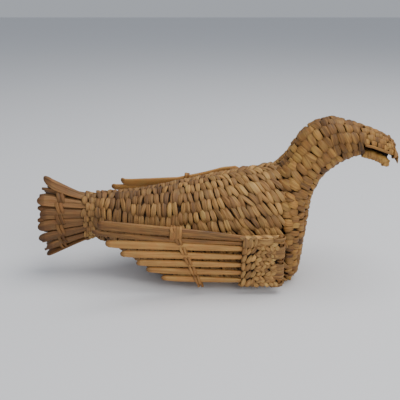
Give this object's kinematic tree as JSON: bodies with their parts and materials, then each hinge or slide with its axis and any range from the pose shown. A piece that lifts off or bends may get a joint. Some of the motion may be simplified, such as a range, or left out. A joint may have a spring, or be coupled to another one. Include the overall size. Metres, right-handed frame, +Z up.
{
  "type": "woven leaf bird",
  "caption": "Bird ornament woven from straw-coloured leaf, with a curved neck, open beak, flared leaf tail and two feathered wings lashed to its sides.",
  "frame": {"origin": "centre of the bounding box's underside, on the surface the bird stands on", "axes": "+X from tail to beak, +Y to the bird's left, +Z up"},
  "size_m": [0.2933, 0.0974, 0.1342],
  "materials": {
    "woven_leaf": "matte",
    "folded_leaf": "satin",
    "twined_cord": "matte",
    "stake_leaf": "matte"
  },
  "bodies": {
    "bird": {"body_weave": "woven_leaf", "body_stakes": "stake_leaf", "neck_weave": "woven_leaf", "neck_stakes": "stake_leaf", "upper_beak": "woven_leaf", "lower_beak": "woven_leaf", "mouth_binding": "twined_cord", "beak_tip_knot": "twined_cord", "jaw_tip_knot": "twined_cord", "tail_twining": "twined_cord", "tail_root_wrap": "twined_cord", "tail_leaf_1": "folded_leaf", "tail_leaf_2": "folded_leaf", "tail_leaf_3": "folded_leaf", "tail_leaf_4": "folded_leaf", "tail_leaf_5": "folded_leaf", "tail_leaf_6": "folded_leaf", "tail_leaf_7": "folded_leaf", "tail_leaf_8": "folded_leaf", "tail_leaf_9": "folded_leaf", "tail_leaf_10": "folded_leaf", "tail_leaf_11": "folded_leaf", "tail_leaf_12": "folded_leaf", "tail_leaf_13": "folded_leaf", "tail_leaf_14": "folded_leaf", "right_wing_lashings": "twined_cord", "left_wing_lashings": "twined_cord"},
    "right_wing": {"right_wing_stake": "stake_leaf", "right_wing_patch": "woven_leaf", "right_wing_twining": "twined_cord", "right_wing_feather_1": "folded_leaf", "right_wing_feather_2": "folded_leaf", "right_wing_feather_3": "folded_leaf", "right_wing_feather_4": "folded_leaf", "right_wing_feather_5": "folded_leaf", "right_wing_feather_6": "folded_leaf"},
    "left_wing": {"left_wing_stake": "stake_leaf", "left_wing_patch": "woven_leaf", "left_wing_twining": "twined_cord", "left_wing_feather_1": "folded_leaf", "left_wing_feather_2": "folded_leaf", "left_wing_feather_3": "folded_leaf", "left_wing_feather_4": "folded_leaf", "left_wing_feather_5": "folded_leaf", "left_wing_feather_6": "folded_leaf"}
  },
  "joints": [
    {"name": "right_wing_hinge", "type": "hinge", "parent": "bird", "child": "right_wing", "pos_m": [0.0505, -0.04052, 0.0292], "axis": [0, -0.0698, 0.9976], "range_deg": [-3, 20]},
    {"name": "left_wing_hinge", "type": "hinge", "parent": "bird", "child": "left_wing", "pos_m": [0.046, 0.03972, 0.05992], "axis": [0, 0.1736, -0.9848], "range_deg": [-3, 20]}
  ]
}
